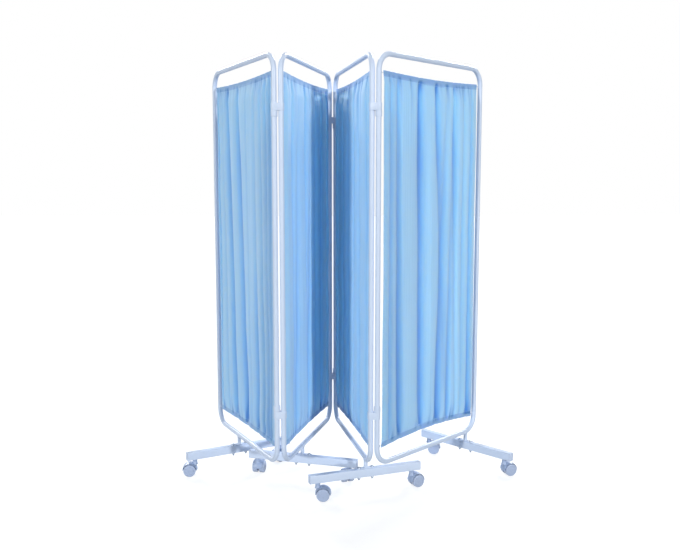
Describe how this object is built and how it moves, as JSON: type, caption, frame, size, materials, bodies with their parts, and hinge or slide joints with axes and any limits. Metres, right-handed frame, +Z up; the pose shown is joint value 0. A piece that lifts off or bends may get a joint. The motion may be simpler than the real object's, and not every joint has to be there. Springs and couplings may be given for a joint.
{
  "type": "folding ward screen",
  "caption": "Folding ward screen: round-cornered tube frames hinged in a zigzag, gathered curtains on wires, foot bars on twin-wheel casters.",
  "frame": {"origin": "middle of the screen's footprint, on the floor", "axes": "+Z up, the pictured side faces -Y, +X to that side's right"},
  "size_m": [1.5452, 0.7238, 1.8689],
  "materials": {
    "blue_cloth": "plain light blue woven cloth",
    "bright_steel": "zinc plated",
    "caster_nylon": "moulded, satin",
    "coated_steel": "pale blue-grey powder coat, satin",
    "wheel_plastic": "moulded, satin"
  },
  "bodies": {
    "panel_1": {"frame_1": "coated_steel", "curtain_1": "blue_cloth", "wire_top_1": "bright_steel", "wire_bottom_1": "bright_steel", "foot_bar_1": "coated_steel", "flange_bolt_front_1": "bright_steel", "flange_bolt_back_1": "bright_steel", "stop_collar_top_12": "coated_steel", "stop_collar_bottom_12": "coated_steel"},
    "panel_2": {"frame_2": "coated_steel", "curtain_2": "blue_cloth", "wire_top_2": "bright_steel", "wire_bottom_2": "bright_steel", "foot_bar_2": "coated_steel", "flange_bolt_front_2": "bright_steel", "flange_bolt_back_2": "bright_steel"},
    "panel_3": {"frame_3": "coated_steel", "curtain_3": "blue_cloth", "wire_top_3": "bright_steel", "wire_bottom_3": "bright_steel", "foot_bar_3": "coated_steel", "flange_bolt_front_3": "bright_steel", "flange_bolt_back_3": "bright_steel", "stop_collar_top_23": "coated_steel", "stop_collar_bottom_23": "coated_steel"},
    "panel_4": {"frame_4": "coated_steel", "curtain_4": "blue_cloth", "wire_top_4": "bright_steel", "wire_bottom_4": "bright_steel", "foot_bar_4": "coated_steel", "flange_bolt_front_4": "bright_steel", "flange_bolt_back_4": "bright_steel", "stop_collar_top_34": "coated_steel", "stop_collar_bottom_34": "coated_steel"},
    "link_12": {"hinge_strap_top_12": "coated_steel", "hinge_strap_bottom_12": "coated_steel"},
    "link_23": {"hinge_strap_top_23": "coated_steel", "hinge_strap_bottom_23": "coated_steel"},
    "link_34": {"hinge_strap_top_34": "coated_steel", "hinge_strap_bottom_34": "coated_steel"},
    "swivel_front_1": {"caster_front_1": "caster_nylon"},
    "wheelset_front_1": {"wheels_front_1": "wheel_plastic"},
    "swivel_back_1": {"caster_back_1": "caster_nylon"},
    "wheelset_back_1": {"wheels_back_1": "wheel_plastic"},
    "swivel_front_2": {"caster_front_2": "caster_nylon"},
    "wheelset_front_2": {"wheels_front_2": "wheel_plastic"},
    "swivel_back_2": {"caster_back_2": "caster_nylon"},
    "wheelset_back_2": {"wheels_back_2": "wheel_plastic"},
    "swivel_front_3": {"caster_front_3": "caster_nylon"},
    "wheelset_front_3": {"wheels_front_3": "wheel_plastic"},
    "swivel_back_3": {"caster_back_3": "caster_nylon"},
    "wheelset_back_3": {"wheels_back_3": "wheel_plastic"},
    "swivel_front_4": {"caster_front_4": "caster_nylon"},
    "wheelset_front_4": {"wheels_front_4": "wheel_plastic"},
    "swivel_back_4": {"caster_back_4": "caster_nylon"},
    "wheelset_back_4": {"wheels_back_4": "wheel_plastic"}
  },
  "joints": [
    {"name": "fold_12_inner", "type": "hinge", "parent": "panel_2", "child": "link_12", "pos_m": [-0.2885, -0.32254, 0], "axis": [0, 0, 1], "range_deg": [-22, 68]},
    {"name": "fold_12_outer", "type": "hinge", "parent": "link_12", "child": "panel_1", "pos_m": [-0.31637, -0.32522, 0], "axis": [0, 0, 1], "range_deg": [-22, 68]},
    {"name": "fold_23_inner", "type": "hinge", "parent": "panel_2", "child": "link_23", "pos_m": [-0.08969, 0.34864, 0], "axis": [0, 0, 1], "range_deg": [-14, 76]},
    {"name": "fold_23_outer", "type": "hinge", "parent": "link_23", "child": "panel_3", "pos_m": [-0.06172, 0.34742, 0], "axis": [0, 0, 1], "range_deg": [-14, 76]},
    {"name": "fold_34_inner", "type": "hinge", "parent": "panel_3", "child": "link_34", "pos_m": [0.07784, -0.33853, 0], "axis": [0, 0, 1], "range_deg": [-61.5, 28.5]},
    {"name": "fold_34_outer", "type": "hinge", "parent": "link_34", "child": "panel_4", "pos_m": [0.10462, -0.34672, 0], "axis": [0, 0, 1], "range_deg": [-61.5, 28.5]},
    {"name": "swivel_front_1_turn", "type": "hinge", "parent": "panel_1", "child": "swivel_front_1", "pos_m": [-0.71518, -0.0334, 0.076], "axis": [0, 0, 1], "continuous": true},
    {"name": "wheels_front_1_roll", "type": "hinge", "parent": "swivel_front_1", "child": "wheelset_front_1", "pos_m": [-0.73909, -0.03549, 0.028], "axis": [0.0872, -0.9962, 0], "continuous": true},
    {"name": "swivel_back_1_turn", "type": "hinge", "parent": "panel_1", "child": "swivel_back_1", "pos_m": [-0.32667, 0.16885, 0.076], "axis": [0, 0, 1], "continuous": true},
    {"name": "wheels_back_1_roll", "type": "hinge", "parent": "swivel_back_1", "child": "wheelset_back_1", "pos_m": [-0.34364, 0.15188, 0.028], "axis": [0.7071, -0.7071, 0], "continuous": true},
    {"name": "swivel_front_2_turn", "type": "hinge", "parent": "panel_2", "child": "swivel_front_2", "pos_m": [-0.00751, -0.14503, 0.076], "axis": [0, 0, 1], "continuous": true},
    {"name": "wheels_front_2_roll", "type": "hinge", "parent": "swivel_front_2", "child": "wheelset_front_2", "pos_m": [-0.01572, -0.12248, 0.028], "axis": [-0.9397, -0.342, 0], "continuous": true},
    {"name": "swivel_back_2_turn", "type": "hinge", "parent": "panel_2", "child": "swivel_back_2", "pos_m": [-0.42748, -0.02063, 0.076], "axis": [0, 0, 1], "continuous": true},
    {"name": "wheels_back_2_roll", "type": "hinge", "parent": "swivel_back_2", "child": "wheelset_back_2", "pos_m": [-0.42249, 0.00284, 0.028], "axis": [-0.9781, 0.2079, 0], "continuous": true},
    {"name": "swivel_front_3_turn", "type": "hinge", "parent": "panel_3", "child": "swivel_front_3", "pos_m": [-0.14538, -0.33046, 0.076], "axis": [0, 0, 1], "continuous": true},
    {"name": "wheels_front_3_roll", "type": "hinge", "parent": "swivel_front_3", "child": "wheelset_front_3", "pos_m": [-0.12147, -0.33255, 0.028], "axis": [0.0872, 0.9962, 0], "continuous": true},
    {"name": "swivel_back_3_turn", "type": "hinge", "parent": "panel_3", "child": "swivel_back_3", "pos_m": [0.26876, -0.18786, 0.076], "axis": [0, 0, 1], "continuous": true},
    {"name": "wheels_back_3_roll", "type": "hinge", "parent": "swivel_back_3", "child": "wheelset_back_3", "pos_m": [0.29051, -0.17772, 0.028], "axis": [-0.4226, 0.9063, 0], "continuous": true},
    {"name": "swivel_front_4_turn", "type": "hinge", "parent": "panel_4", "child": "swivel_front_4", "pos_m": [0.71174, -0.05714, 0.076], "axis": [0, 0, 1], "continuous": true},
    {"name": "wheels_front_4_roll", "type": "hinge", "parent": "swivel_front_4", "child": "wheelset_front_4", "pos_m": [0.73457, -0.04972, 0.028], "axis": [-0.309, 0.9511, 0], "continuous": true},
    {"name": "swivel_back_4_turn", "type": "hinge", "parent": "panel_4", "child": "swivel_back_4", "pos_m": [0.40475, 0.25526, 0.076], "axis": [0, 0, 1], "continuous": true},
    {"name": "wheels_back_4_roll", "type": "hinge", "parent": "swivel_back_4", "child": "wheelset_back_4", "pos_m": [0.42838, 0.2511, 0.028], "axis": [0.1736, 0.9848, 0], "continuous": true}
  ]
}
